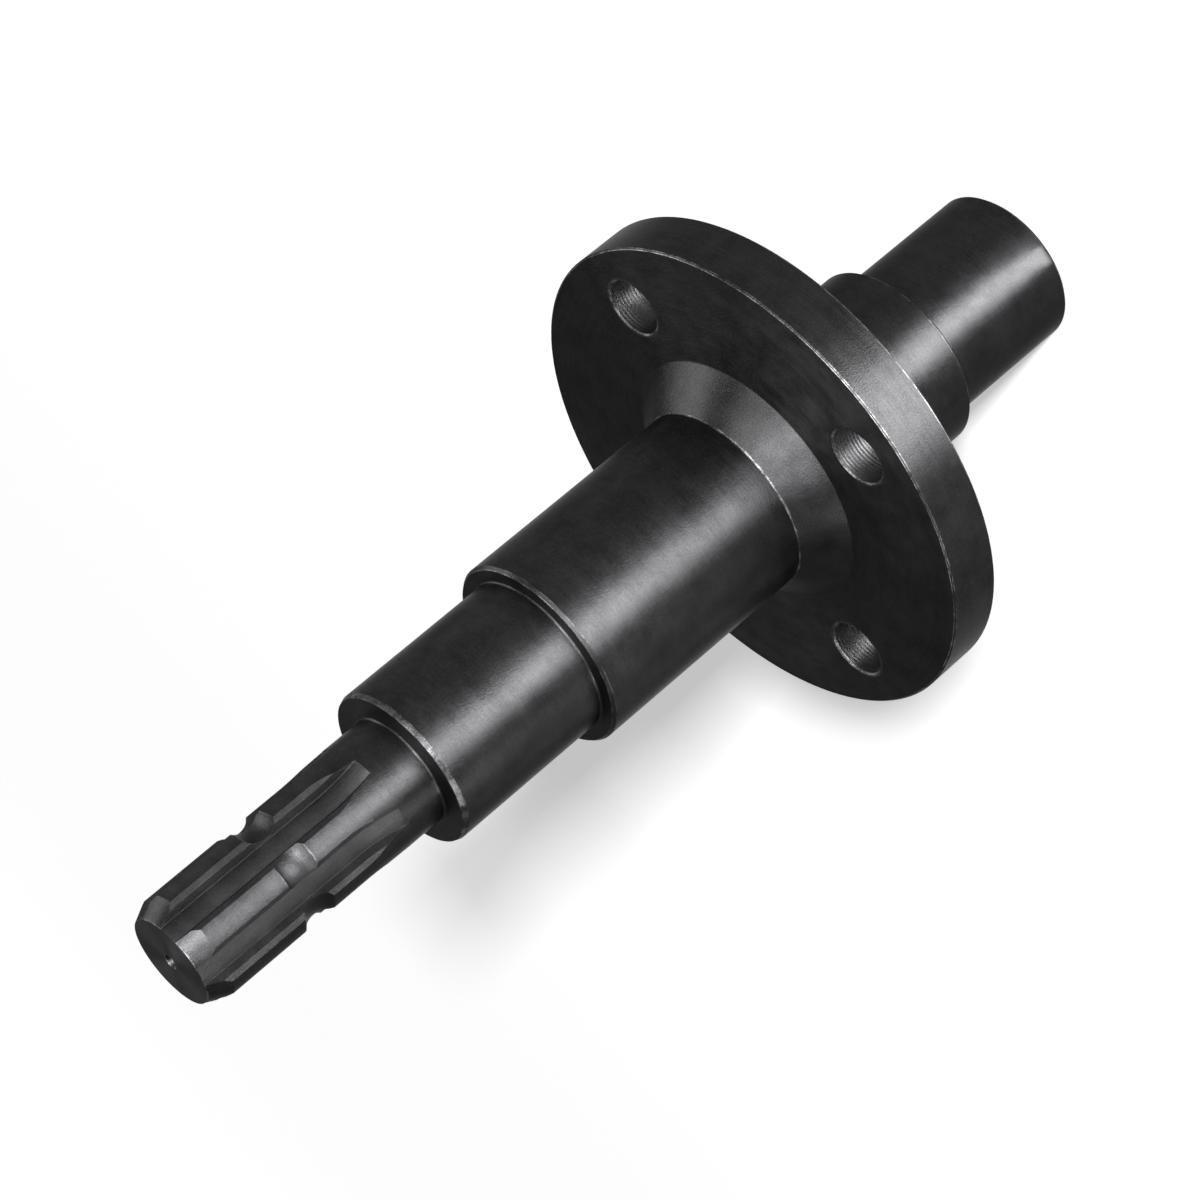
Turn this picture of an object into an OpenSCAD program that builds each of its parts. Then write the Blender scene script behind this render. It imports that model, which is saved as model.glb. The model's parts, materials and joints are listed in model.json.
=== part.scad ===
// Flanged shaft with a splined nose, turned and milled from one piece of steel.
// It stands on its rear journal with the nose up: +Z runs along the axis, z = 0 is the rear end face.

/* [Splined nose] */
// Length from the nose's end face to the first shoulder
nose_len = 84; // [80:0.5:95]
// Outside diameter over the spline teeth, and of the plain neck behind them
spline_d = 34.8; // [34:0.1:36]
// Diameter at the bottom of the gaps between the teeth
spline_root_d = 28; // [27:0.1:29.5]
// Number of spline teeth
spline_teeth = 6; // [5:1:7]
// Width of a tooth across its parallel flanks
tooth_w = 8.64; // [7.5:0.02:9]
// Chamfer along both upper corners of a tooth
tooth_chamfer = 1.2; // [0.4:0.1:1.4]
// Length of the gaps at full depth, from the nose's end face
spline_full_len = 55.4; // [52:0.1:58]
// Diameter of the form cutter that leaves the curved run-out behind each gap
cutter_d = 70; // [60:1:76]
// Turn of the teeth away from the bolt holes
spline_turn = 8.6; // [-30:0.1:30]
// Diameter of the nose's end face, inside its chamfer
nose_face_d = 28.2; // [24:0.1:30]
// Length of the chamfer at the nose's end
nose_chamfer_len = 6.4; // [3:0.1:9]

/* [Locking groove] */
// Distance of the groove's middle from the nose's end face
groove_pos = 37.8; // [30:0.1:44]
// Radius of the groove's round section
groove_r = 6.6; // [5:0.1:7.5]
// Depth of the groove below the tops of the teeth
groove_depth = 2.55; // [1.5:0.05:3]

/* [Bearing seat] */
// Diameter of the bearing seat behind the nose
seat_d = 50; // [46:0.5:52]
// Length of the bearing seat, from the first shoulder to the second
seat_len = 53; // [40:0.5:70]
// Length of the shallow lead-in on the bearing seat's front edge
seat_lead_len = 1.5; // [0.5:0.1:3]
// Radial depth of the lead-in
seat_lead_depth = 0.6; // [0.2:0.1:1]

/* [Hub] */
// Diameter of the hub in front of the flange
hub_d = 60; // [58:0.5:66]
// Length of the hub from the second shoulder to the flange's front face
hub_len = 86; // [60:0.5:110]
// Axial length of the chamfer on the hub's front edge
hub_chamfer_len = 1; // [0.4:0.1:1.8]
// Radial depth of that chamfer
hub_chamfer_depth = 0.8; // [0.3:0.1:1.4]
// Length of the cone that carries the hub into the flange
cone_len = 10.3; // [6:0.1:16]
// Diameter of the cone where it meets the flange
cone_d = 82.3; // [72:0.1:90]

/* [Flange] */
// Diameter of the flange
flange_d = 158; // [150:1:180]
// Thickness of the flange
flange_t = 17; // [12:0.5:24]
// Chamfer that breaks the flange's two rims
flange_edge = 0.5; // [0.2:0.1:1.5]

/* [Bolt holes] */
// Number of bolt holes in the flange
bolt_count = 4; // [3:1:8]
// Diameter of the circle through the bolt holes' centres
bolt_circle_d = 120; // [114:0.5:126]
// Diameter of a bolt hole
bolt_hole_d = 18; // [12:0.5:20]
// Chamfer that breaks each bolt hole's two mouths
bolt_hole_edge = 0.4; // [0.1:0.1:0.8]

/* [Rear shaft] */
// Diameter of the boss behind the flange
boss_d = 60; // [58:0.5:66]
// Length of the boss behind the flange
boss_len = 47.5; // [30:0.5:60]
// Chamfer on the boss's rear edge
boss_chamfer = 1; // [0.4:0.1:1.8]
// Diameter of the rear journal
journal_d = 50; // [46:0.5:52]
// Length of the rear journal
journal_len = 49.5; // [40:0.5:60]
// Chamfer on the journal's end
journal_chamfer = 1.1; // [0.4:0.1:2]

/* [Corners and centre holes] */
// Fillet in the inner corner at each shoulder
corner_r = 0.7; // [0.3:0.1:1]
// Mouth diameter of the centre hole in the nose
nose_centre_d = 4.8; // [4:0.1:8]
// Mouth diameter of the centre hole in the rear journal
rear_centre_d = 8.5; // [5:0.1:12]
// Taper of both centre holes, from side to side
centre_angle = 60; // [55:1:90]
// Share of a centre hole's mouth that its pilot hole takes
pilot_share = 0.42; // [0.3:0.01:0.6]

/* [Hidden] */
$fn = 128;
overcut = 1;
runout_spare = 4;

// The main faces up the axis
flange_back_z = journal_len + boss_len;
flange_front_z = flange_back_z + flange_t;
shoulder_2_z = flange_front_z + hub_len;
shoulder_1_z = shoulder_2_z + seat_len;
total_len = shoulder_1_z + nose_len;

// The teeth: half the pitch, and the chamfered corner of a tooth seen along its own middle
half_pitch = 180 / spline_teeth;
spline_r = spline_d / 2;
root_r = spline_root_d / 2;
flank = tooth_w / 2;
crest = flank - tooth_chamfer;
crest_u = sqrt(spline_r * spline_r - crest * crest);
corner_u = crest_u - tooth_chamfer;

// The cutter's path: its axis stands off the shaft by its radius and the root, and it turns
// a few degrees further than where the gap's bottom comes up to the outside diameter
cutter_r = cutter_d / 2;
cutter_axis_r = root_r + cutter_r;
runout_z = total_len - spline_full_len;
runout_angle = acos((cutter_axis_r - spline_r) / cutter_r) + runout_spare;

// Black-finished steel
module steel() {
    color([0.17, 0.17, 0.18]) children();
}

// A point at u along a tooth's middle and w to its side, seen from the middle of the gap
// beside it: side 1 is the tooth on the left of the gap, and side -1 the one on the right
function beside_gap(u, w, side) = [
    u * cos(half_pitch) + w * sin(half_pitch),
    side * (u * sin(half_pitch) - w * cos(half_pitch))
];

// What one cut takes out between two teeth: flanks parallel to the middles of the teeth,
// chamfers at their corners, and a bottom that is round about the shaft's axis
module gap_section() {
    mouth = beside_gap(crest_u + overcut, crest - overcut, 1);
    difference() {
        polygon([
            [flank / sin(half_pitch), 0],
            beside_gap(corner_u, flank, -1),
            [mouth[0], -mouth[1]],
            [spline_r + overcut, -mouth[1]],
            [spline_r + overcut, mouth[1]],
            mouth,
            beside_gap(corner_u, flank, 1)
        ]);
        circle(r = root_r);
    }
}

// One gap: straight at full depth, then rising out of the steel on the cutter's radius
module spline_gap() {
    translate([0, 0, runout_z])
        linear_extrude(spline_full_len + overcut)
            gap_section();
    translate([cutter_axis_r, 0, runout_z])
        rotate([-90, 0, 180])
            rotate_extrude(angle = runout_angle)
                translate([cutter_axis_r, 0])
                    mirror([1, 0])
                        gap_section();
}

module spline_gaps() {
    for (i = [0 : spline_teeth - 1])
        rotate([0, 0, spline_turn + (i + 0.5) * 360 / spline_teeth])
            spline_gap();
}

// The round groove across the teeth, where a locking pin or ball seats
module locking_groove() {
    rotate_extrude()
        translate([spline_r - groove_depth + groove_r, total_len - groove_pos])
            circle(r = groove_r);
}

// The four square inner corners as [radius of the shaft there, height of the face, side of
// the face on which the shaft stands out]
inner_corners = [
    [spline_r, shoulder_1_z, 1],
    [seat_d / 2, shoulder_2_z, 1],
    [boss_d / 2, flange_back_z, -1],
    [journal_d / 2, journal_len, -1]
];

// Half of the turned section, with a square of steel left in each inner corner that the
// fillet's circle then takes its round out of
module turned_section() {
    difference() {
        union() {
            polygon([
                [0, 0],
                [journal_d / 2 - journal_chamfer, 0],
                [journal_d / 2, journal_chamfer],
                [journal_d / 2, journal_len],
                [boss_d / 2 - boss_chamfer, journal_len],
                [boss_d / 2, journal_len + boss_chamfer],
                [boss_d / 2, flange_back_z],
                [flange_d / 2 - flange_edge, flange_back_z],
                [flange_d / 2, flange_back_z + flange_edge],
                [flange_d / 2, flange_front_z - flange_edge],
                [flange_d / 2 - flange_edge, flange_front_z],
                [cone_d / 2, flange_front_z],
                [hub_d / 2, flange_front_z + cone_len],
                [hub_d / 2, shoulder_2_z - hub_chamfer_len],
                [hub_d / 2 - hub_chamfer_depth, shoulder_2_z],
                [seat_d / 2, shoulder_2_z],
                [seat_d / 2, shoulder_1_z - seat_lead_len],
                [seat_d / 2 - seat_lead_depth, shoulder_1_z],
                [spline_r, shoulder_1_z],
                [spline_r, total_len - nose_chamfer_len],
                [nose_face_d / 2, total_len],
                [0, total_len]
            ]);
            for (c = inner_corners)
                translate([c[0], c[2] > 0 ? c[1] : c[1] - corner_r])
                    square(corner_r);
        }
        for (c = inner_corners)
            translate([c[0] + corner_r, c[1] + c[2] * corner_r])
                circle(r = corner_r);
    }
}

module turned_blank() {
    rotate_extrude() turned_section();
}

// The ring of bolt holes through the flange, each with both mouths broken
module bolt_holes() {
    for (i = [0 : bolt_count - 1])
        rotate([0, 0, i * 360 / bolt_count])
            translate([bolt_circle_d / 2, 0, flange_back_z])
                rotate_extrude()
                    polygon([
                        [0, -overcut],
                        [bolt_hole_d / 2 + bolt_hole_edge + overcut, -overcut],
                        [bolt_hole_d / 2, bolt_hole_edge],
                        [bolt_hole_d / 2, flange_t - bolt_hole_edge],
                        [bolt_hole_d / 2 + bolt_hole_edge + overcut, flange_t + overcut],
                        [0, flange_t + overcut]
                    ]);
}

// A centre hole that opens upwards at z = 0: a taper from its mouth down to its pilot hole,
// which goes as deep again
module centre_hole(mouth_d) {
    pilot_d = mouth_d * pilot_share;
    taper_len = (mouth_d - pilot_d) / 2 / tan(centre_angle / 2);
    rotate_extrude()
        polygon([
            [0, -2 * taper_len],
            [pilot_d / 2, -2 * taper_len],
            [pilot_d / 2, -taper_len],
            [mouth_d / 2, 0],
            [mouth_d / 2, overcut],
            [0, overcut]
        ]);
}

module splined_shaft() {
    steel()
        difference() {
            turned_blank();
            bolt_holes();
            spline_gaps();
            locking_groove();
            translate([0, 0, total_len]) centre_hole(nose_centre_d);
            mirror([0, 0, 1]) centre_hole(rear_centre_d);
        }
}

splined_shaft();
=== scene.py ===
"""Looks of a one-piece flanged shaft with a splined nose: blackened, turned and milled steel.

The shaft's surface is built again as one closed mesh, in millimetres along its own turned
outline, with the small radii, worn edges and tool rings that the solid leaves out. Then come
its finish, the pale floor and sky, the soft lamps and the camera.
"""

from __future__ import annotations

import cmath
import json
import logging
import math
from dataclasses import dataclass, field
from enum import Enum
from typing import Hashable, Mapping, Sequence

import bpy
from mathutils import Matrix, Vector
from mathutils.geometry import delaunay_2d_cdt

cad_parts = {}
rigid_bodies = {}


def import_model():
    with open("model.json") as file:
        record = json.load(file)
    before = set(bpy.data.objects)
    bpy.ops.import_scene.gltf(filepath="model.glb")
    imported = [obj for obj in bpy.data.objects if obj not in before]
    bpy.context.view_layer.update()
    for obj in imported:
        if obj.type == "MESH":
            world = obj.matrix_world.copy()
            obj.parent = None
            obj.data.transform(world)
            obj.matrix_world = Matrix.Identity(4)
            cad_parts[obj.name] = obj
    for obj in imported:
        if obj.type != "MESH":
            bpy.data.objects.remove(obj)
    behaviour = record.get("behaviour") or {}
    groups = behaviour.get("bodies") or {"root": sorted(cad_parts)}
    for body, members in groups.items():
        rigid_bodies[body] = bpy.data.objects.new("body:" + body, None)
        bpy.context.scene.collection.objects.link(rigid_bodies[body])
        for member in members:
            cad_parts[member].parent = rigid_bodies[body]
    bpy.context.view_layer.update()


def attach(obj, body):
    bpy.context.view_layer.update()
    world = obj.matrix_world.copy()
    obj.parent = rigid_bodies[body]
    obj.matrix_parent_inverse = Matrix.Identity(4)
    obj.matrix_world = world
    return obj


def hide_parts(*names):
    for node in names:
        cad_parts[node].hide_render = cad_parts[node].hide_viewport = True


LOG = logging.getLogger("splined_shaft")

MM = 0.001
NODE = "splined_shaft"

# From this angle on, two faces keep a hard edge between them.
SHARP_FROM_DEG = 24.0
# Longest step along a rounded corner.
ARC_STEP_DEG = 20.0
# Lengths in millimetres and shares below this count as nothing.
TINY = 1e-6

Point2 = tuple[float, float]
Triple = tuple[float, float, float]
Mark = tuple[complex, float]
Colour = tuple[float, float, float, float]
Label = Hashable
Socket = bpy.types.NodeSocket


def between(a: float, b: float, share: float) -> float:
    """Returns the value that lies this share of the way from a to b."""
    return a + (b - a) * share


def add_object(name: str, data: bpy.types.ID) -> bpy.types.Object:
    """Makes an object of a mesh, lamp or camera and puts it in the scene.

    Args:
        name: The object's name.
        data: What it shows.

    Returns:
        The object.
    """
    made = bpy.data.objects.new(name, data)
    bpy.context.scene.collection.objects.link(made)
    return made


class Patch(Enum):
    """Which tool left a surface, as the number of its material on the mesh."""

    TURNED = 0
    CUT = 1
    DRILLED = 2


@dataclass
class Ring:
    """One closed trip round an axis: point numbers in order of angle, each with its label.

    Two rings are joined label by label, so a line of equal labels becomes a clean edge.
    """

    labels: list[Label] = field(default_factory=list)
    ids: list[int] = field(default_factory=list)

    def add(self, label: Label, number: int) -> None:
        """Adds the next point of the ring."""
        self.labels.append(label)
        self.ids.append(number)

    def turned_to(self, label: Label) -> "Ring":
        """Returns the same ring, started at the point that has this label."""
        n = self.labels.index(label)
        return Ring(self.labels[n:] + self.labels[:n], self.ids[n:] + self.ids[:n])


@dataclass
class Skin:
    """The shaft's surface while it is being gathered.

    Attributes:
        places: Each point's place in millimetres.
        wear_and_highlight: How bare each point is rubbed, 0 to 1; in some inner corners the same
            share paints a highlight.
        patches: The tool that left each point.
        faces: Each face's point numbers.
    """

    places: list[Triple] = field(default_factory=list)
    wear_and_highlight: list[float] = field(default_factory=list)
    patches: list[Patch] = field(default_factory=list)
    faces: list[tuple[int, ...]] = field(default_factory=list)

    def point(self, at: complex, z: float, wear_and_highlight: float, patch: Patch = Patch.TURNED) -> int:
        """Adds one point.

        Args:
            at: Its x and y in millimetres, as the two parts of a complex number.
            z: Its height.
            wear_and_highlight: How bare it is rubbed, 0 to 1; in an inner corner, how strong a
                painted highlight it takes.
            patch: The tool that left it.

        Returns:
            The point's number.
        """
        self.places.append((at.real, at.imag, z))
        self.wear_and_highlight.append(wear_and_highlight)
        self.patches.append(patch)
        return len(self.places) - 1

    def circle(
        self, stop: Stop, count: int, middle: complex = 0j, patch: Patch = Patch.TURNED
    ) -> Ring:
        """Adds a round ring.

        Args:
            stop: Its radius, height, and wear with painted highlight.
            count: How many points it has.
            middle: The place of its middle.
            patch: The tool that left it.

        Returns:
            The ring, labelled by degrees.
        """
        ring = Ring()
        for n in range(count):
            degrees = 360 * n / count
            at = middle + cmath.rect(stop.r, math.radians(degrees))
            ring.add(("grid", degrees), self.point(at, stop.z, stop.wear_and_highlight, patch))
        return ring

    def face(self, *ids: int) -> None:
        """Adds a face, unless repeated points leave fewer than three corners.

        Args:
            *ids: The point numbers round it, which may repeat.
        """
        corners = tuple(n for i, n in enumerate(ids) if n != ids[i - 1])
        if len(set(corners)) >= 3:
            self.faces.append(corners)

    def gap(self, a: int, b: int) -> float:
        """Returns the distance between two points."""
        return math.dist(self.places[a], self.places[b])

    def strip(self, first: Sequence[int], second: Sequence[int]) -> None:
        """Joins two open lines of points, with squares where their counts agree.

        Args:
            first: The line that comes earlier on the way down.
            second: The next line, in the same order of angle.
        """
        if len(first) == len(second):
            for a, b, c, d in zip(first, second, second[1:], first[1:]):
                self.face(a, b, c, d)
            return
        i = j = 0
        while i < len(first) - 1 or j < len(second) - 1:
            take_first = j == len(second) - 1
            if not take_first and i < len(first) - 1:
                across = self.gap(first[i + 1], second[j])
                take_first = across < self.gap(first[i], second[j + 1])
            if take_first:
                self.face(first[i], second[j], first[i + 1])
                i += 1
            else:
                self.face(first[i], second[j], second[j + 1])
                j += 1

    def join(self, first: Ring, second: Ring) -> None:
        """Joins two rings all the way round, from each shared label to the next.

        Args:
            first: The ring that comes earlier on the way down.
            second: The next ring.
        """
        shared = set(first.labels) & set(second.labels)
        start = next(label for label in first.labels if label in shared)
        a, b = first.turned_to(start), second.turned_to(start)
        stops_a, stops_b = (
            [i for i, label in enumerate(ring.labels) if label in shared] + [len(ring.ids)]
            for ring in (a, b)
        )
        line_a, line_b = a.ids + a.ids[:1], b.ids + b.ids[:1]
        for from_a, to_a, from_b, to_b in zip(stops_a, stops_a[1:], stops_b, stops_b[1:]):
            self.strip(line_a[from_a : to_a + 1], line_b[from_b : to_b + 1])

    def join_all(self, rings: Sequence[Ring]) -> tuple[Ring, Ring]:
        """Joins each ring to the next.

        Args:
            rings: The rings in order.

        Returns:
            The first and the last of them.
        """
        for first, second in zip(rings, rings[1:]):
            self.join(first, second)
        return rings[0], rings[-1]

    def flat(self, outer: Ring, holes: Sequence[Ring], faces_up: bool) -> None:
        """Fills a level face between a ring and the rings inside it.

        Args:
            outer: The ring round the face.
            holes: The rings that the face goes round.
            faces_up: Whether the face looks up the axis.
        """
        rings = (outer, *holes)
        ids = [n for ring in rings for n in ring.ids]
        flat = [Vector(self.places[n][:2]) for n in ids]
        edges, insides, start = [], [], 0
        for ring in rings:
            count = len(ring.ids)
            edges += [(start + i, start + (i + 1) % count) for i in range(count)]
            loop = flat[start : start + count]
            centre = sum(loop, Vector((0.0, 0.0))) / count
            insides.append((centre, min((p - centre).length for p in loop)))
            start += count
        spots, _, triangles, sources, *_ = delaunay_2d_cdt(flat, edges, [], 0, TINY, True)
        for tri in triangles:
            a, b, c = (spots[i] for i in tri)
            middle = (a + b + c) / 3
            if any((middle - centre).length < reach for centre, reach in insides[1:]):
                continue
            corners = [ids[sources[i][0]] for i in tri]
            counter_clockwise = (b - a).cross(c - a) > 0
            self.face(*(corners if counter_clockwise == faces_up else corners[::-1]))

    def to_object(self, name: str) -> bpy.types.Object:
        """Makes the Blender object of everything gathered so far.

        Args:
            name: The piece's name.

        Returns:
            The linked object, smooth but for its real edges.
        """
        mesh = bpy.data.meshes.new(name)
        mesh.from_pydata([tuple(MM * v for v in p) for p in self.places], [], self.faces)
        # Per-point share of bare steel: wear on outer edges, painted highlight in inner corners.
        layer = mesh.attributes.new("wear_and_highlight", "FLOAT", "POINT")
        layer.data.foreach_set("value", self.wear_and_highlight)
        for polygon in mesh.polygons:
            polygon.material_index = min(self.patches[n].value for n in polygon.vertices)
        mesh.validate()
        mesh.shade_smooth()
        mesh.set_sharp_from_angle(angle=math.radians(SHARP_FROM_DEG))
        mesh.update()
        piece = add_object(name, mesh)
        weighted = piece.modifiers.new("even_shading", "WEIGHTED_NORMAL")
        weighted.weight = 100
        weighted.keep_sharp = True
        return piece


@dataclass(frozen=True)
class Corner:
    """A corner of the turned outline.

    Attributes:
        r, z: Radius from the axis and height up it, in millimetres.
        round: Radius that breaks an outer corner or fills an inner one.
        wear_and_highlight: How bare the corner is rubbed, 0 to 1; in an inner corner, how strong a
            painted highlight it takes.
        step: Longest ring spacing on the way to the next corner.
        guard: How far from the corner the band of wear and painted highlight fades out.
    """

    r: float
    z: float
    round: float = 0.0
    wear_and_highlight: float = 0.0
    step: float = 12.0
    guard: float = 0.6


@dataclass(frozen=True)
class Stop:
    """One ring of the turned outline: its radius, height, and its wear with painted highlight."""

    r: float
    z: float
    wear_and_highlight: float = 0.0


def arc_in_corner(before: Point2, at: Point2, after: Point2, radius: float) -> list[Point2]:
    """Rounds one corner of a line.

    Args:
        before, at, after: The corner between its two neighbours.
        radius: The round's radius.

    Returns:
        The points along the round.
    """
    p0, p, p1 = (complex(*q) for q in (before, at, after))
    u, v = (p0 - p) / abs(p0 - p), (p1 - p) / abs(p1 - p)
    turn = math.pi - abs(cmath.phase(v / u))
    reach = radius * math.tan(turn / 2)
    middle = p + (u + v) / abs(u + v) * math.hypot(radius, reach)
    start, end = p + u * reach - middle, p + v * reach - middle
    count = max(2, math.ceil(math.degrees(turn) / ARC_STEP_DEG))
    step = cmath.phase(end / start) / count
    arc = [middle + start * cmath.rect(1.0, step * i) for i in range(count + 1)]
    return [(q.real, q.imag) for q in arc]


def plain_stops(last: Stop, first: Stop, guard: float, step: float) -> list[Stop]:
    """Fills a straight stretch of the outline with rings that have no wear and no painted
    highlight.

    Args:
        last, first: The rings before and after it.
        guard: How far from an end its band of wear and painted highlight fades out.
        step: Longest ring spacing.

    Returns:
        The rings between the two.
    """
    room_for_bands = 2.2
    length = math.dist((last.r, last.z), (first.r, first.z))
    shares = {0.0, 1.0}
    for wear_and_highlight, at in ((last.wear_and_highlight, 0.0), (first.wear_and_highlight, 1.0)):
        if wear_and_highlight and length > room_for_bands * guard:
            shares.add(abs(at - guard / length))
    marks = sorted(shares)
    stops = []
    for low, high in zip(marks, marks[1:]):
        parts = max(1, math.ceil((high - low) * length / step))
        for k in range(1, parts + 1):
            t = low + (high - low) * k / parts
            if t < 1.0 - TINY:
                stops.append(Stop(between(last.r, first.r, t), between(last.z, first.z, t)))
    return stops


def turned_stops(corners: Sequence[Corner]) -> list[Stop]:
    """Walks the turned outline and puts a ring wherever the surface needs one.

    Args:
        corners: The outline's corners in order.

    Returns:
        The rings, with a fading band of wear, and in inner corners of painted highlight, on both
        sides of each such corner.
    """
    stops: list[Stop] = []
    for i, corner in enumerate(corners):
        at = (corner.r, corner.z)
        arc = [at]
        if corner.round and 0 < i < len(corners) - 1:
            before, after = corners[i - 1], corners[i + 1]
            arc = arc_in_corner((before.r, before.z), at, (after.r, after.z), corner.round)
        rounded = [Stop(r, z, corner.wear_and_highlight) for r, z in arc]
        if stops:
            stops += plain_stops(stops[-1], rounded[0], corner.guard, corners[i - 1].step)
        stops += rounded
    return stops


@dataclass(frozen=True)
class SplineNose:
    """The splined nose: teeth with parallel flanks, cut by a form cutter that runs out.

    Attributes:
        end_z: Height of the nose's end face.
        outer_r: Radius over the teeth.
        root_r: Radius at the bottom of the gaps.
        teeth: Number of teeth.
        tooth_w: Width of a tooth across its flanks.
        chamfer: Chamfer along a tooth's two upper corners.
        full_len: Length of the gaps at full depth.
        cutter_r: Radius of the form cutter.
        turn_deg: Turn of the teeth away from +X.
        foot_r: Small radius at the foot of each flank.
        edge_r: Radius that breaks the tooth's long edges.
        crest_wear: How bare the edges of a tooth's top are rubbed.
    """

    end_z: float = 337.0
    outer_r: float = 17.4
    root_r: float = 14.0
    teeth: int = 6
    tooth_w: float = 8.64
    chamfer: float = 1.2
    full_len: float = 55.4
    cutter_r: float = 35.0
    turn_deg: float = 8.6
    foot_r: float = 0.18
    edge_r: float = 0.12
    crest_wear: float = 0.1

    @property
    def cutter_axis_r(self) -> float:
        """Distance of the cutter's axis from the shaft's axis."""
        return self.root_r + self.cutter_r

    @property
    def run_out_z(self) -> float:
        """Height at which the gaps stop being at full depth."""
        return self.end_z - self.full_len

    @property
    def last_z(self) -> float:
        """Height at which the gaps have run out of the steel."""
        rise = self.cutter_axis_r - self.outer_r
        return self.run_out_z - math.sqrt(self.cutter_r**2 - rise**2)

    def half_gap(self) -> list[Mark]:
        """Draws half of one gap's section, from its middle to the top of a tooth.

        Returns:
            The line's points, out through the gap's middle and to its side, with their wear.
        """
        turn = cmath.rect(1.0, math.pi / self.teeth)
        flank = self.tooth_w / 2
        crest = flank - self.chamfer
        crest_u = math.sqrt(self.outer_r**2 - crest**2)
        corner_u = crest_u - self.chamfer
        foot_w = flank + self.foot_r
        foot_u = math.sqrt((self.root_r + self.foot_r) ** 2 - foot_w**2)
        # A point well on to the tooth's top, which rises towards its middle.
        on_top = (crest_u + 0.18, crest - 1.0)

        def seen(u: float, w: float) -> complex:
            """Turns a place beside the tooth's middle into one beside the gap's."""
            return complex(u, -w) * turn

        root_parts, foot_parts, flank_parts = 7, 6, 4
        foot, side = seen(foot_u, foot_w), seen(foot_u, flank)
        step = cmath.phase(foot) / root_parts
        places = [cmath.rect(self.root_r, step * i) for i in range(root_parts)]
        start, step = cmath.phase(-foot), cmath.phase((side - foot) / -foot) / foot_parts
        places += [foot + cmath.rect(self.foot_r, start + step * i) for i in range(foot_parts)]
        low = arc_in_corner((foot_u, flank), (corner_u, flank), (crest_u, crest), self.edge_r)
        high = arc_in_corner((corner_u, flank), (crest_u, crest), on_top, self.edge_r)
        step = (low[0][0] - foot_u) / flank_parts
        places += [seen(foot_u + step * i, flank) for i in range(flank_parts)]
        middle = ((low[-1][0] + high[0][0]) / 2, (low[-1][1] + high[0][1]) / 2)
        places += [seen(*q) for q in (*low, middle)]
        tops = [seen(*q) for q in high]
        tops[-1] *= self.outer_r / abs(tops[-1])
        return [(q, 0.0) for q in places] + [(q, self.crest_wear) for q in tops]

    def lifted(self, place: complex, drop: float) -> complex:
        """Moves a point of the gap's section out along the cutter's curve.

        Args:
            place: Its place at full depth.
            drop: How far below the full depth's end the section is.

        Returns:
            Its place in that section.
        """
        if drop <= 0:
            return place
        arm = self.cutter_axis_r - place.real
        out = self.cutter_axis_r - math.sqrt(max(arm * arm - drop * drop, 0.0))
        return complex(out, place.imag)

    def cut_at(self, r: float, z: float) -> list[Mark] | None:
        """Finds half of a gap's section inside the turned outline at one height.

        Args:
            r: The turned outline's radius there.
            z: The height.

        Returns:
            The points from the gap's middle to where it meets the outline, with their wear,
            or None where the gap doesn't reach into the steel.
        """
        halvings, whole_from = 40, 0.98
        drop = self.run_out_z - z
        inside: list[Mark] = []
        line = self.half_gap()
        for i, (place, wear_and_highlight) in enumerate(line):
            at = self.lifted(place, drop)
            if abs(at) < r - TINY:
                inside.append((at, wear_and_highlight))
                continue
            if i == 0:
                return None
            before, low, high = line[i - 1][0], 0.0, 1.0
            for _step in range(halvings):
                t = (low + high) / 2
                if abs(self.lifted(before + (place - before) * t, drop)) < r:
                    low = t
                else:
                    high = t
            whole = i == len(line) - 1 and low > whole_from
            at = self.lifted(before + (place - before) * low, drop)
            inside.append((at, wear_and_highlight if whole else 0.0))
            return inside
        at, wear_and_highlight = inside.pop()
        return [*inside, (at * r / abs(at), wear_and_highlight)]

    def ring(self, skin: Skin, stop: Stop, degrees: int) -> Ring | None:
        """Adds one ring of the nose with its gaps.

        Args:
            skin: The surface so far.
            stop: The ring's place on the turned outline.
            degrees: Spacing of the points on the tops of the teeth.

        Returns:
            The ring, or None where no gap reaches into the steel.
        """
        half = self.cut_at(stop.r, stop.z)
        if half is None:
            return None
        clear_deg = 0.25
        reach = math.degrees(cmath.phase(half[-1][0])) + clear_deg
        ring = Ring()
        pitch = 360 / self.teeth
        # From the gap's one edge over its middle to the other edge.
        trip = [(1 if i > 0 else -1, abs(i)) for i in range(1 - len(half), len(half))]
        for gap in range(self.teeth):
            middle = self.turn_deg + (gap + 0.5) * pitch
            turn = cmath.rect(1.0, math.radians(middle))
            for side, i in trip:
                place, wear_and_highlight = half[i]
                name: Label = i
                if i == len(half) - 1:
                    name, wear_and_highlight = "edge", max(wear_and_highlight, stop.wear_and_highlight)
                at = complex(place.real, side * place.imag) * turn
                label = (gap, side if i else 0, name)
                ring.add(label, skin.point(at, stop.z, wear_and_highlight, Patch.CUT))
            first, last = middle + reach, middle + pitch - reach
            for n in range(math.ceil(first / degrees), math.floor(last / degrees) + 1):
                at = cmath.rect(stop.r, math.radians(n * degrees))
                ring.add(("grid", n * degrees % 360), skin.point(at, stop.z, stop.wear_and_highlight))
        return ring

    def event_heights(self) -> list[float]:
        """Finds where the lines along a gap run out of the steel.

        Returns:
            The height at which each line of the gap's section does so.
        """
        heights = []
        for place, _ in self.half_gap():
            out = self.cutter_axis_r - math.sqrt(max(self.outer_r**2 - place.imag**2, 0.0))
            arm = self.cutter_axis_r - place.real
            if arm > out:
                heights.append(self.run_out_z - math.sqrt(arm * arm - out * out))
        return heights


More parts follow.
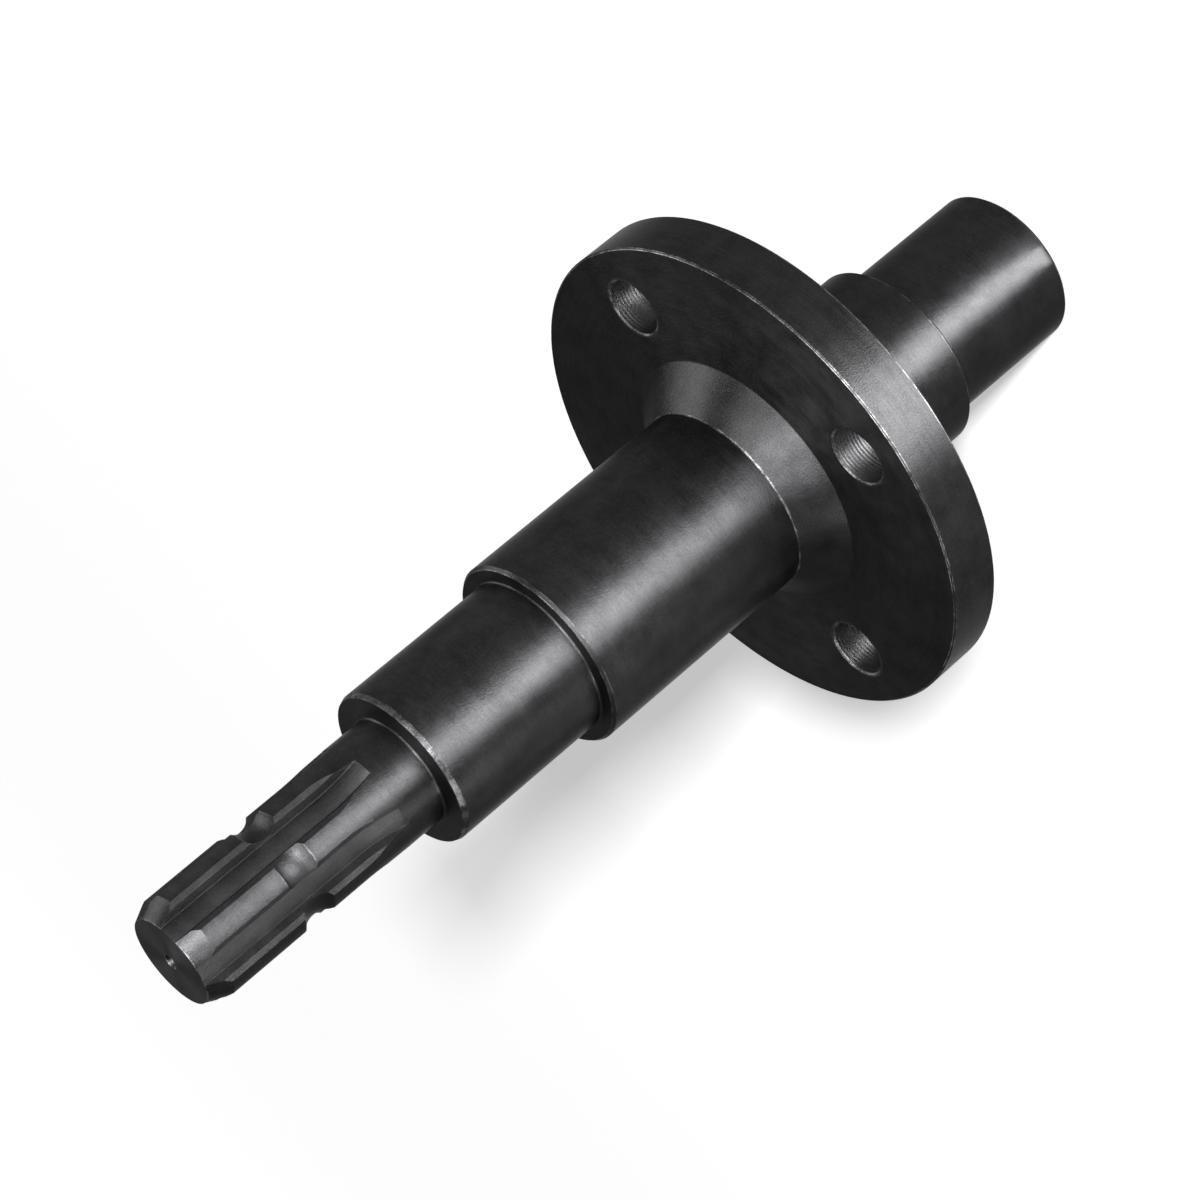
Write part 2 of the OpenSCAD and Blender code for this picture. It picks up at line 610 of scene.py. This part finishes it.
@dataclass(frozen=True)
class Groove:
    """The round locking groove across the teeth.

    Attributes:
        from_end: Distance of its middle from the nose's end face.
        radius: Radius of its section.
        depth: Depth below the tops of the teeth.
        lip_r: Radius that breaks its two edges.
        wear_and_highlight: How bare its edges are rubbed.
    """

    from_end: float = 37.8
    radius: float = 6.6
    depth: float = 2.55
    lip_r: float = 0.2
    wear_and_highlight: float = 0.3

    def stops(self, nose: SplineNose) -> list[Stop]:
        """Walks the groove's section from its upper edge to its lower edge.

        Args:
            nose: The nose that the groove is in.

        Returns:
            The groove's rings in order.
        """
        parts, band = 18, 0.5
        middle = complex(nose.outer_r - self.depth + self.radius, nose.end_z - self.from_end)
        reach = math.acos(1 - self.depth / self.radius)
        arc = []
        for i in range(parts + 1):
            q = middle - cmath.rect(self.radius, reach * (2 * i / parts - 1))
            arc.append((q.real, q.imag))
        # Any point further along the tooth gives the way in which its top runs.
        above, below = ((nose.outer_r, z) for z in (arc[0][1] + 5, arc[-1][1] - 5))
        upper = arc_in_corner(above, arc[0], arc[1], self.lip_r)
        lower = arc_in_corner(arc[-2], arc[-1], below, self.lip_r)
        return [
            Stop(nose.outer_r, upper[0][1] + band),
            *(Stop(r, z, self.wear_and_highlight) for r, z in upper),
            *(Stop(r, z) for r, z in arc[1:-1]),
            *(Stop(r, z, self.wear_and_highlight) for r, z in lower),
            Stop(nose.outer_r, lower[-1][1] - band),
        ]


@dataclass(frozen=True)
class BoltHole:
    """One drilled bolt hole through the flange, with the drill's rings on its wall.

    Attributes:
        radius: The hole's radius.
        circle_r: Radius of the circle through the holes' middles.
        edge: Chamfer at each mouth.
        ring_pitch, ring_depth: Spacing and depth of the drill's rings.
        rim: How far from a mouth the rubbed band fades out.
        wear_and_highlight: How bare a mouth is rubbed.
        points: Points round the hole.
        rows_a_ring: Rows of points across one of the drill's rings.
    """

    radius: float = 9.0
    circle_r: float = 60.0
    edge: float = 0.4
    ring_pitch: float = 1.15
    ring_depth: float = 0.13
    rim: float = 0.8
    wear_and_highlight: float = 0.3
    points: int = 72
    rows_a_ring: int = 6

    def build(self, skin: Skin, angle_deg: float, low: float, high: float) -> tuple[Ring, Ring]:
        """Adds the hole's wall and both broken mouths.

        Args:
            skin: The surface so far.
            angle_deg: Where on the bolt circle the hole is.
            low: Height of the flange's back face.
            high: Height of the flange's front face.

        Returns:
            The rings in the back face and in the front face that the faces go round.
        """
        middle = cmath.rect(self.circle_r, math.radians(angle_deg))
        smooth, bare = 0.25, 0.1
        wide = self.radius + self.edge
        rims = ((wide + self.rim, 0.0), (wide + bare, self.wear_and_highlight), (wide, self.wear_and_highlight))
        start, end = low + self.edge + smooth, high - self.edge - smooth
        count = round((end - start) / self.ring_pitch * self.rows_a_ring)
        wall = [Stop(self.radius, low + self.edge, self.wear_and_highlight)]
        for i in range(count + 1):
            z = start + (end - start) * i / count
            # The rings' depth comes and goes, and each hole has its own.
            lead = math.sin(2 * math.pi * (z + 0.11 * angle_deg) / self.ring_pitch)
            slow = 0.6 + 0.4 * math.sin(0.9 * z + angle_deg)
            wall.append(Stop(self.radius - 0.5 * self.ring_depth * slow * (1 + lead), z))
        wall.append(Stop(self.radius, high - self.edge, self.wear_and_highlight))
        rows = [(Stop(r, low, wear_and_highlight), Patch.CUT) for r, wear_and_highlight in rims]
        rows += [(stop, Patch.DRILLED) for stop in wall]
        rows += [(Stop(r, high, wear_and_highlight), Patch.CUT) for r, wear_and_highlight in reversed(rims)]
        return skin.join_all([skin.circle(s, self.points, middle, patch) for s, patch in rows])


@dataclass(frozen=True)
class CentreHole:
    """A centre hole: a sixty degree taper down to a pilot hole.

    Attributes:
        mouth_r: Radius of its mouth.
        pilot_share: Share of the mouth that the pilot hole takes.
        taper_deg: The taper from side to side.
    """

    mouth_r: float
    pilot_share: float = 0.42
    taper_deg: float = 60.0

    def corners(self, face_z: float, inward: int) -> list[Corner]:
        """Lists the hole's outline from its bottom to its mouth.

        Args:
            face_z: Height of the face that it opens in.
            inward: The way into the steel, 1 up and -1 down the axis.

        Returns:
            The outline's corners.
        """
        pilot = self.mouth_r * self.pilot_share
        depth = (self.mouth_r - pilot) / math.tan(math.radians(self.taper_deg / 2))
        bottom_z, bottom_share = face_z + inward * 2 * depth, 0.3
        return [
            Corner(pilot * bottom_share, bottom_z),
            Corner(pilot, bottom_z),
            Corner(pilot, face_z + inward * depth),
            Corner(self.mouth_r, face_z, wear_and_highlight=0.5, guard=0.35),
        ]


@dataclass(frozen=True)
class Flange:
    """The round flange with its cone and its ring of bolt holes.

    Attributes:
        back_z, front_z: Heights of its two faces.
        radius: Its radius.
        edge: Chamfer that breaks its rims.
        cone_r, cone_len: Radius of the cone at the front face, and its length.
        holes: Number of bolt holes.
        rim_band: Width of the band inside each rim that the level faces leave out.
        hole: The bolt hole that is repeated.
    """

    back_z: float = 97.0
    front_z: float = 114.0
    radius: float = 79.0
    edge: float = 0.5
    cone_r: float = 41.15
    cone_len: float = 10.3
    holes: int = 4
    rim_band: float = 1.0
    hole: BoltHole = BoltHole()

    def rim(self) -> list[Corner]:
        """Lists the outline round the rim, from the front face to the back face."""
        r, inner, edge = self.radius, self.radius - self.edge, self.edge
        return [
            Corner(inner - self.rim_band, self.front_z, step=0.6),
            Corner(inner, self.front_z, round=0.12, wear_and_highlight=0.7, guard=0.2),
            Corner(r, self.front_z - edge, round=0.25, wear_and_highlight=0.35, step=4.0, guard=0.2),
            Corner(r, self.back_z + edge, round=0.25, wear_and_highlight=0.5, guard=0.2),
            Corner(inner, self.back_z, round=0.12, wear_and_highlight=0.6, step=0.6, guard=0.2),
            Corner(inner - self.rim_band, self.back_z),
        ]

    def close_faces(self, skin: Skin, front: tuple[Ring, Ring], back: tuple[Ring, Ring]) -> None:
        """Adds the bolt holes and the two level faces round them.

        Args:
            skin: The surface so far.
            front: The front face's outer and inner rings.
            back: The back face's outer and inner rings.
        """
        pairs = [
            self.hole.build(skin, 360 * i / self.holes, self.back_z, self.front_z)
            for i in range(self.holes)
        ]
        skin.flat(front[0], [front[1], *(pair[1] for pair in pairs)], faces_up=True)
        skin.flat(back[0], [back[1], *(pair[0] for pair in pairs)], faces_up=False)


@dataclass(frozen=True)
class Shaft:
    """The whole shaft, from the nose's centre hole round to the rear one.

    Attributes:
        nose, groove, flange: Its parts of those names.
        nose_hole, rear_hole: The centre holes in its two ends.
        face_r: Radius of the nose's end face.
        chamfer_len: Length of the chamfer at the nose's end.
        seat_r: Radius of the bearing seat and of the rear journal.
        seat_lead: Radial depth and length of the seat's lead-in.
        hub_r: Radius of the hub and of the boss behind the flange.
        hub_chamfer: Radial depth and length of the hub's chamfer.
        boss_chamfer, journal_chamfer: Chamfers on the boss and on the journal's end.
        fillet: Radius in the inner corner of each shoulder.
        shoulder_1_z, shoulder_2_z: Heights of the shoulders below the nose and the seat.
        boss_z: Height of the boss's rear face.
        fine_deg: Spacing of the points round the shaft.
        coarse_deg: Their spacing round the small centre holes.
        coarse_below_r: Radius below which that spacing holds.
    """

    nose: SplineNose = SplineNose()
    groove: Groove = Groove()
    flange: Flange = Flange()
    nose_hole: CentreHole = CentreHole(mouth_r=2.4)
    rear_hole: CentreHole = CentreHole(mouth_r=4.25)
    face_r: float = 14.1
    chamfer_len: float = 6.4
    seat_r: float = 25.0
    seat_lead: Point2 = (0.6, 1.5)
    hub_r: float = 30.0
    hub_chamfer: Point2 = (0.8, 1.0)
    boss_chamfer: float = 1.0
    journal_chamfer: float = 1.1
    fillet: float = 0.7
    shoulder_1_z: float = 253.0
    shoulder_2_z: float = 200.0
    boss_z: float = 49.5
    fine_deg: int = 2
    coarse_deg: int = 6
    coarse_below_r: float = 6.0

    def inner_corner(self, r: float, z: float) -> Corner:
        """Returns the filled corner between a cylinder and the shoulder that it ends on, with a
        faint painted highlight along its fillet.
        """
        # The share here is a painted highlight where light falls in the fillet, shown as bare
        # steel.
        return Corner(r, z, round=self.fillet, wear_and_highlight=0.15)

    def upper_outline(self) -> list[Stop]:
        """Walks the outline above the flange.

        Returns:
            The rings from the nose's centre hole out and down to the flange's front face.
        """
        nose, flange = self.nose, self.flange
        r, seat_r, hub_r = nose.outer_r, self.seat_r, self.hub_r
        seat_z, hub_z = self.shoulder_1_z, self.shoulder_2_z
        lead, chamfer = self.seat_lead, self.hub_chamfer
        cone_z = flange.front_z + flange.cone_len
        groove = self.groove.stops(nose)
        band_beside_cone = 1.5
        top = [
            *self.nose_hole.corners(nose.end_z, -1),
            Corner(self.face_r, nose.end_z, round=0.2, wear_and_highlight=0.4, step=0.8, guard=0.3),
            Corner(r, nose.end_z - self.chamfer_len, round=0.5, step=2.5),
            Corner(r, groove[0].z),
        ]
        neck = [
            Corner(r, groove[-1].z, step=1.6),
            Corner(r, nose.run_out_z, step=1.0),
            Corner(r, nose.last_z, step=3.0),
            self.inner_corner(r, seat_z),
            Corner(seat_r - lead[0], seat_z, round=0.15, wear_and_highlight=0.36, guard=0.8),
            Corner(seat_r, seat_z - lead[1], round=0.3, wear_and_highlight=0.24, guard=0.8),
            self.inner_corner(seat_r, hub_z),
            Corner(hub_r - chamfer[0], hub_z, round=0.15, wear_and_highlight=0.35, guard=0.3),
            Corner(hub_r, hub_z - chamfer[1], round=0.25, wear_and_highlight=0.25, guard=0.3),
            # Painted highlight: the inner corner between hub and cone is lightened like bare
            # steel, as a line of light.
            Corner(hub_r, cone_z, round=0.5, wear_and_highlight=0.42, guard=0.25, step=2.0),
            Corner(flange.cone_r, flange.front_z, round=0.8, wear_and_highlight=0.1),
            Corner(flange.cone_r + band_beside_cone, flange.front_z),
        ]
        return turned_stops(top) + groove[1:-1] + turned_stops(neck)

    def lower_outline(self) -> list[Stop]:
        """Walks the outline below the flange.

        Returns:
            The rings from the flange's back face down and in to the rear centre hole.
        """
        back, seat_r, hub_r = self.flange.back_z, self.seat_r, self.hub_r
        boss, end = self.boss_chamfer, self.journal_chamfer
        band_beside_boss = 2.0
        corners = [
            Corner(hub_r + band_beside_boss, back),
            self.inner_corner(hub_r, back),
            Corner(hub_r, self.boss_z + boss, round=0.25, wear_and_highlight=0.3),
            Corner(hub_r - boss, self.boss_z, round=0.15, wear_and_highlight=0.4, guard=0.3),
            self.inner_corner(seat_r, self.boss_z),
            Corner(seat_r, end, round=0.3, wear_and_highlight=0.3),
            Corner(seat_r - end, 0.0, round=0.15, wear_and_highlight=0.4, guard=0.3),
        ]
        return turned_stops(corners + self.rear_hole.corners(0.0, 1)[::-1])

    def nose_events(self, stops: list[Stop]) -> list[Stop]:
        """Adds rings where a line of the gaps' section meets the turned outline.

        Args:
            stops: The outline's rings.

        Returns:
            The same rings with the added ones in their places.
        """
        shoulder_band, nearest = 2.0, 0.02
        radii = [abs(place) for place, _ in self.nose.half_gap()]
        heights = self.nose.event_heights()
        done: list[Stop] = [stops[0]]
        for a, b in zip(stops, stops[1:]):
            extra = set()
            if a.z > self.shoulder_1_z + shoulder_band and abs(a.r - b.r) > TINY:
                extra |= {(r - a.r) / (b.r - a.r) for r in radii}
            if abs(a.z - b.z) > TINY:
                extra |= {(z - a.z) / (b.z - a.z) for z in heights}
            for t in sorted(x for x in extra if nearest < x < 1.0 - nearest):
                wear_and_highlight = between(a.wear_and_highlight, b.wear_and_highlight, t)
                done.append(Stop(between(a.r, b.r, t), between(a.z, b.z, t), wear_and_highlight))
            done.append(b)
        return done

    def plain_ring(self, skin: Skin, stop: Stop) -> Ring:
        """Adds a ring with nothing cut into it and returns it."""
        degrees = self.coarse_deg if stop.r < self.coarse_below_r else self.fine_deg
        return skin.circle(stop, 360 // degrees)

    def walk(self, skin: Skin, stops: Sequence[Stop]) -> tuple[Ring, Ring]:
        """Adds the rings of a stretch of outline and joins each to the next.

        Args:
            skin: The surface so far.
            stops: The stretch's rings.

        Returns:
            Its first and last rings.
        """
        rings: list[Ring] = []
        for stop in stops:
            ring = None
            if stop.z > self.nose.last_z and stop.r > self.nose.root_r:
                ring = self.nose.ring(skin, stop, self.fine_deg)
            rings.append(ring or self.plain_ring(skin, stop))
        return skin.join_all(rings)

    def build(self) -> bpy.types.Object:
        """Builds the shaft as one closed mesh.

        Returns:
            The piece, still without its finish.
        """
        skin = Skin()
        first, front_inner = self.walk(skin, self.nose_events(self.upper_outline()))
        front_outer, back_outer = self.walk(skin, turned_stops(self.flange.rim()))
        back_inner, last = self.walk(skin, self.lower_outline())
        self.flange.close_faces(skin, (front_outer, front_inner), (back_outer, back_inner))
        skin.face(*first.ids)
        skin.face(*reversed(last.ids))
        LOG.info("shaft: %d points, %d faces", len(skin.places), len(skin.faces))
        return skin.to_object("shaft_body")


class Sheet:
    """A node tree with short ways to add and link nodes."""

    def __init__(self, owner: bpy.types.Material | bpy.types.World) -> None:
        """Turns on the owner's nodes and clears them away.

        Args:
            owner: The material or world whose look the nodes describe.
        """
        owner.use_nodes = True
        self.tree = owner.node_tree
        self.tree.nodes.clear()

    def node(
        self, kind: str, inputs: Mapping[str | int, object] | None = None, **settings: object
    ) -> bpy.types.Node:
        """Adds a node.

        Args:
            kind: The node's type.
            inputs: What goes into its sockets: another node's output, or a plain value.
            **settings: Its properties.

        Returns:
            The node.
        """
        made = self.tree.nodes.new(kind)
        for key, value in settings.items():
            setattr(made, key, value)
        for socket, value in (inputs or {}).items():
            if isinstance(value, Socket):
                self.tree.links.new(value, made.inputs[socket])
            else:
                made.inputs[socket].default_value = value
        return made

    def shader(self, kind: str, **inputs: object) -> Socket:
        """Adds a shader whose inputs have names of one word and returns its output."""
        return self.node(kind, inputs).outputs[0]

    def math(self, operation: str, *values: object, clamp: bool = False) -> Socket:
        """Adds a Math node and returns its output."""
        inputs = dict(enumerate(values))
        return self.node("ShaderNodeMath", inputs, operation=operation, use_clamp=clamp).outputs[0]

    def noise(self, vector: Socket, scale: float, detail: float, rough: float = 0.55) -> Socket:
        """Adds a Noise Texture and returns its value."""
        inputs = {"Vector": vector, "Scale": scale, "Detail": detail, "Roughness": rough}
        return self.node("ShaderNodeTexNoise", inputs).outputs["Fac"]

    def spread(self, value: Socket, within: Point2, onto: Point2 = (0.0, 1.0)) -> Socket:
        """Stretches a value from one range onto another, held at both ends."""
        inputs = dict(enumerate((value, *within, *onto)))
        return self.node("ShaderNodeMapRange", inputs, clamp=True).outputs[0]

    def blend(self, share: Socket, a: object, b: object) -> Socket:
        """Mixes two colours by a share, on the node's sockets 6 and 7."""
        inputs = {"Factor": share, 6: a, 7: b}
        return self.node("ShaderNodeMix", inputs, data_type="RGBA").outputs[2]

    def sum_of(self, *parts: tuple[float, Socket]) -> Socket:
        """Adds outputs up.

        Args:
            *parts: Each output's share and the output.

        Returns:
            The sum of the outputs, each times its share.
        """
        total: object = 0.0
        for share, value in parts:
            total = self.math("ADD", total, self.math("MULTIPLY", value, share))
        return total

    def seen(self) -> Socket:
        """Returns 1 for rays to the eye, in gloss and through glass, and 0 for the rest."""
        eye, gloss, glass = (f"Is {kind} Ray" for kind in ("Camera", "Glossy", "Transmission"))
        path = self.node("ShaderNodeLightPath").outputs
        return self.math("MAXIMUM", self.math("MAXIMUM", path[eye], path[gloss]), path[glass])


@dataclass(frozen=True)
class BlackenedSteel:
    """Oil-blackened steel, rubbed bright on its edges, with painted highlights in some inner
    corners.

    Attributes:
        name: The material's name.
        roughness: Middle roughness.
        lift: Height of the fine texture, in metres.
        anisotropy: How far turning rings draw a highlight out along the shaft.
        rings: Share of the fine texture that runs round the shaft. The rest is grain.
        black: Reflected colour of the blackened surface.
        lighter: The same where the black is thinner.
        bare: Reflected colour of rubbed steel, also painted into inner corners as a highlight.
        edge_tint: Tint of the reflection towards grazing angles.
    """

    name: str
    roughness: float
    lift: float
    anisotropy: float = 0.0
    rings: float = 0.0
    black: Colour = (0.0130, 0.0130, 0.0134, 1.0)
    lighter: Colour = (0.0280, 0.0280, 0.0288, 1.0)
    bare: Colour = (0.20, 0.198, 0.195, 1.0)
    edge_tint: Colour = (0.5, 0.5, 0.5, 1.0)

    def material(self) -> bpy.types.Material:
        """Builds the node material.

        Returns:
            The material.
        """
        made = bpy.data.materials.new(self.name)
        s = Sheet(made)
        place = s.node("ShaderNodeTexCoord").outputs["Object"]
        in_mm = s.node("ShaderNodeVectorMath", {0: place, "Scale": 1 / MM}, operation="SCALE")
        spot = in_mm.outputs[0]
        x, y, z = s.node("ShaderNodeSeparateXYZ", {0: spot}).outputs
        radius = s.math("SQRT", s.math("ADD", s.math("MULTIPLY", x, x), s.math("MULTIPLY", y, y)))
        travel = s.math("ADD", z, radius)
        away = s.math("MAXIMUM", radius, 0.5)
        round_x, round_y = s.math("DIVIDE", x, away), s.math("DIVIDE", y, away)

        def tool_rings(strands: float, pitch: float) -> Socket:
            """Adds noise that runs round the shaft and changes along the tool's travel.

            Args:
                strands: How often it changes on the way round.
                pitch: Distance over which it changes along the travel, in millimetres.

            Returns:
                The noise.
            """
            x, y = (s.math("MULTIPLY", part, strands) for part in (round_x, round_y))
            along = s.math("DIVIDE", travel, pitch)
            vector = s.node("ShaderNodeCombineXYZ", {0: x, 1: y, 2: along})
            return s.noise(vector.outputs[0], scale=1.0, detail=2.0)

        fine = tool_rings(strands=5.0, pitch=0.6)
        coarse = tool_rings(strands=1.2, pitch=3.0)
        mottle = s.noise(spot, scale=0.12, detail=4.0, rough=0.6)
        patchy = s.noise(spot, scale=0.22, detail=3.0, rough=0.6)
        grain = s.noise(spot, scale=2.0, detail=2.0, rough=0.7)

        # Bare steel mixed in by the per-point share: real wear on outer edges, and a painted
        # highlight in inner corners where light falls.
        wear_and_highlight = s.node("ShaderNodeAttribute", attribute_name="wear_and_highlight").outputs["Fac"]
        in_patches = s.spread(patchy, within=(0.42, 0.62), onto=(0.2, 0.85))
        in_grains = s.spread(grain, within=(0.4, 0.65), onto=(-0.1, 0.3))
        uneven = s.math("MULTIPLY", wear_and_highlight, s.math("ADD", in_patches, in_grains))
        worn_and_highlit = s.spread(uneven, within=(0.12, 0.75))

        ringed = 0.18 * self.rings
        tone = s.sum_of((0.32, mottle), (ringed, fine), (0.08, coarse), (0.60 - ringed, grain))
        dark = s.blend(s.spread(tone, within=(0.375, 0.625)), self.black, self.lighter)
        patches = s.sum_of((0.14, mottle), (0.05, coarse))
        rough = s.math("ADD", self.roughness - (0.14 + 0.05) / 2, patches, clamp=True)
        height = s.sum_of((0.6 * self.rings, fine), (0.4 * self.rings, coarse), (1.0, grain))
        bump = {"Strength": 1.0, "Distance": self.lift, "Height": height}
        inputs = {
            "Base Color": s.blend(worn_and_highlit, dark, self.bare),
            "Metallic": 1.0,
            "Roughness": rough,
            "Specular Tint": self.edge_tint,
            "Normal": s.node("ShaderNodeBump", bump).outputs[0],
        }
        if self.anisotropy:
            tangent = s.node("ShaderNodeTangent", direction_type="RADIAL", axis="Z")
            inputs |= {"Anisotropic": self.anisotropy, "Anisotropic Rotation": 0.25}
            inputs["Tangent"] = tangent.outputs[0]
        steel = s.node("ShaderNodeBsdfPrincipled", inputs)
        s.node("ShaderNodeOutputMaterial", {"Surface": steel.outputs[0]})
        return made


TURNED_STEEL = BlackenedSteel(
    "turned_black_steel", roughness=0.365, lift=0.000070, anisotropy=0.75, rings=1.0
)
CUT_STEEL = BlackenedSteel("cut_black_steel", roughness=0.5, lift=0.000040)
DRILLED_STEEL = BlackenedSteel(
    "drilled_black_steel",
    roughness=0.44,
    lift=0.000030,
    black=(0.028, 0.028, 0.0288, 1.0),
    lighter=(0.055, 0.055, 0.0565, 1.0),
)


@dataclass(frozen=True)
class Floor:
    """The pale floor: white to the eye and in reflections, and it keeps the soft shadow.

    Attributes:
        reach: Half its width, in metres.
        paint: Share of the lamps' light that it gives back near the shaft.
        glow: Light of its own near the shaft, to the eye and in reflections.
        near: Distance from the axis within which shadows show in full.
        far: Distance from which the floor is plain white.
    """

    reach: float = 30.0
    paint: float = 0.72
    glow: float = 0.42
    near: float = 0.75
    far: float = 1.3

    def material(self) -> bpy.types.Material:
        """Builds the floor's material.

        Returns:
            The material.
        """
        made = bpy.data.materials.new("pale_floor")
        s = Sheet(made)
        place = s.node("ShaderNodeTexCoord").outputs["Object"]
        away = s.node("ShaderNodeVectorMath", {0: place}, operation="LENGTH").outputs["Value"]
        fade = s.spread(away, within=(self.near, self.far))
        paint = s.shader("ShaderNodeBsdfDiffuse", Color=(self.paint,) * 3 + (1.0,))
        dim = s.math("MULTIPLY", s.seen(), self.glow)
        glow = s.shader("ShaderNodeEmission", Strength=dim)
        near = s.node("ShaderNodeAddShader", {0: paint, 1: glow}).outputs[0]
        far = s.shader("ShaderNodeEmission", Strength=s.seen())
        mix = s.node("ShaderNodeMixShader", {0: fade, 1: near, 2: far}).outputs[0]
        s.node("ShaderNodeOutputMaterial", {"Surface": mix})
        return made

    def build(self) -> None:
        """Makes the floor with its material."""
        half = self.reach
        corners = [(-half, -half, 0), (half, -half, 0), (half, half, 0), (-half, half, 0)]
        mesh = bpy.data.meshes.new("floor")
        mesh.from_pydata(corners, [], [(0, 1, 2, 3)])
        mesh.materials.append(self.material())
        floor = add_object("floor", mesh)


@dataclass(frozen=True)
class Sky:
    """The even light from all round: plain white to the eye, dimmer overhead in the steel.

    Attributes:
        fill: Strength with which it lights matt surfaces.
        level: Strength that the steel shows near the horizon.
        overhead: Strength that the steel shows straight up.
    """

    fill: float = 0.176
    level: float = 0.8
    overhead: float = 0.44

    def build(self) -> None:
        """Makes the world and its nodes."""
        world = bpy.data.worlds.new("sky")
        bpy.context.scene.world = world
        s = Sheet(world)
        way = s.node("ShaderNodeTexCoord").outputs["Generated"]
        height = s.node("ShaderNodeSeparateXYZ", {0: way}).outputs[2]
        dimming = (0.15, 0.8)
        up = s.spread(height, within=dimming, onto=(self.level, self.overhead))
        seen = s.seen()
        eye = s.node("ShaderNodeLightPath").outputs["Is Camera Ray"]
        shown = s.math("MAXIMUM", eye, s.math("MULTIPLY", seen, up))
        filled = s.math("MULTIPLY", s.math("SUBTRACT", 1.0, seen), self.fill)
        strength = s.math("ADD", shown, filled)
        light = s.shader("ShaderNodeBackground", Color=(1.0,) * 4, Strength=strength)
        s.node("ShaderNodeOutputWorld", {"Surface": light})


@dataclass(frozen=True)
class Softbox:
    """A soft lamp with a rectangular face.

    Attributes:
        name: Its name.
        place: Its middle, in metres.
        aim: The point that it faces, in metres.
        size: Its width and height, in metres.
        level: Brightness that it gives a white surface that faces it from the aimed point.
        near: Whether it stands so near that only the shaft is to catch its light.
    """

    name: str
    place: Triple
    aim: Triple
    size: Point2
    level: float
    near: bool = True

    def build(self, lit: bpy.types.Collection) -> None:
        """Makes the lamp.

        Args:
            lit: What a near lamp lights.
        """
        back = Vector(self.place) - Vector(self.aim)
        data = bpy.data.lights.new(self.name, "AREA")
        data.shape = "RECTANGLE"
        data.size, data.size_y = self.size
        data.energy = self.level * (math.pi * back.length) ** 2
        lamp = add_object(self.name, data)
        lamp.location = self.place
        lamp.rotation_euler = back.to_track_quat("Z", "Y").to_euler()
        lamp.visible_camera = False
        if self.near:
            lamp.light_linking.receiver_collection = lit


LAMPS = (
    Softbox("key", (0.28, 0.0, 0.122), aim=(0.0, 0.0, 0.122), size=(0.14, 0.24), level=3.5),
    Softbox("front", (0.55, 0.05, 0.72), aim=(0.0, 0.0, 0.28), size=(0.6, 0.5), level=2.2),
    Softbox("high", (0.27, 0.22, 1.0), aim=(0.0, 0.0, 0.12), size=(0.9, 0.9), level=2.4),
    Softbox("right", (0.31, -0.40, 0.308), aim=(0.0, 0.0, 0.30), size=(0.2, 0.05), level=0.9),
    Softbox("side", (0.0, -0.30, 0.075), aim=(0.0, 0.0, 0.075), size=(0.10, 0.14), level=0.07),
    Softbox("back", (-0.45, 0.54, 0.55), aim=(0.0, 0.0, 0.20), size=(0.6, 0.4), level=0.95),
    Softbox(
        "far", (8.48, 2.90, 4.45), aim=(0.0, 0.0, 0.0), size=(0.7, 0.7), level=1.68, near=False
    ),
)


def floor_cards() -> list[Softbox]:
    """Lays out the cards on the floor that light the rear end from below, as one wedge.

    Returns:
        The cards, wider the further out they lie.
    """
    marks = (0.0262, 0.034, 0.046, 0.064, 0.09, 0.14, 0.24)
    tip, spread, glare, floor, above = 0.018, 0.6, 28.0, 0.001, 0.25
    cards = []
    for start, end in zip(marks, marks[1:]):
        x, length = (start + end) / 2, end - start
        width = spread * (x - tip)
        level = glare * length * width / (math.pi * above**2)
        place, aim = (x, 0.0, floor), (x, 0.0, floor + above)
        cards.append(Softbox(f"card_{len(cards)}", place, aim, (length, width), level))
    return cards


@dataclass(frozen=True)
class PhotoCamera:
    """The camera, where the photograph's stood against the shaft.

    Attributes:
        place: Its place in millimetres.
        turn: Its rotation about X, Y and Z, in degrees.
        lens: Its focal length on a 36 mm sensor.
    """

    place: Triple = (932.97, 231.54, 627.24)
    turn: Triple = (-53.6849, 43.9364, -49.0797)
    lens: float = 113.486

    def build(self) -> None:
        """Makes the camera and gives it to the scene."""
        data = bpy.data.cameras.new("camera")
        data.lens, data.sensor_width = self.lens, 36.0
        data.clip_start, data.clip_end = 0.02, 100.0
        camera = add_object("camera", data)
        camera.location = [v * MM for v in self.place]
        camera.rotation_euler = [math.radians(v) for v in self.turn]
        bpy.context.scene.camera = camera


def main() -> None:
    """Builds the shaft and its finish, the floor, the light and the camera."""
    logging.basicConfig(level=logging.INFO, format="%(name)s: %(message)s")
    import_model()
    bpy.context.scene.view_settings.view_transform = "Standard"

    PhotoCamera().build()
    shaft = Shaft().build()
    for steel in (TURNED_STEEL, CUT_STEEL, DRILLED_STEEL):
        shaft.data.materials.append(steel.material())
    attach(shaft, "root")
    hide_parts(NODE)
    LOG.info("%s is dressed", shaft.name)

    Floor().build()
    Sky().build()
    lit = bpy.data.collections.new("lit_by_near_lamps")
    lit.objects.link(shaft)
    for lamp in (*LAMPS, *floor_cards()):
        lamp.build(lit)
        LOG.info("lamp %s is up", lamp.name)


if __name__ == "__main__":
    main()
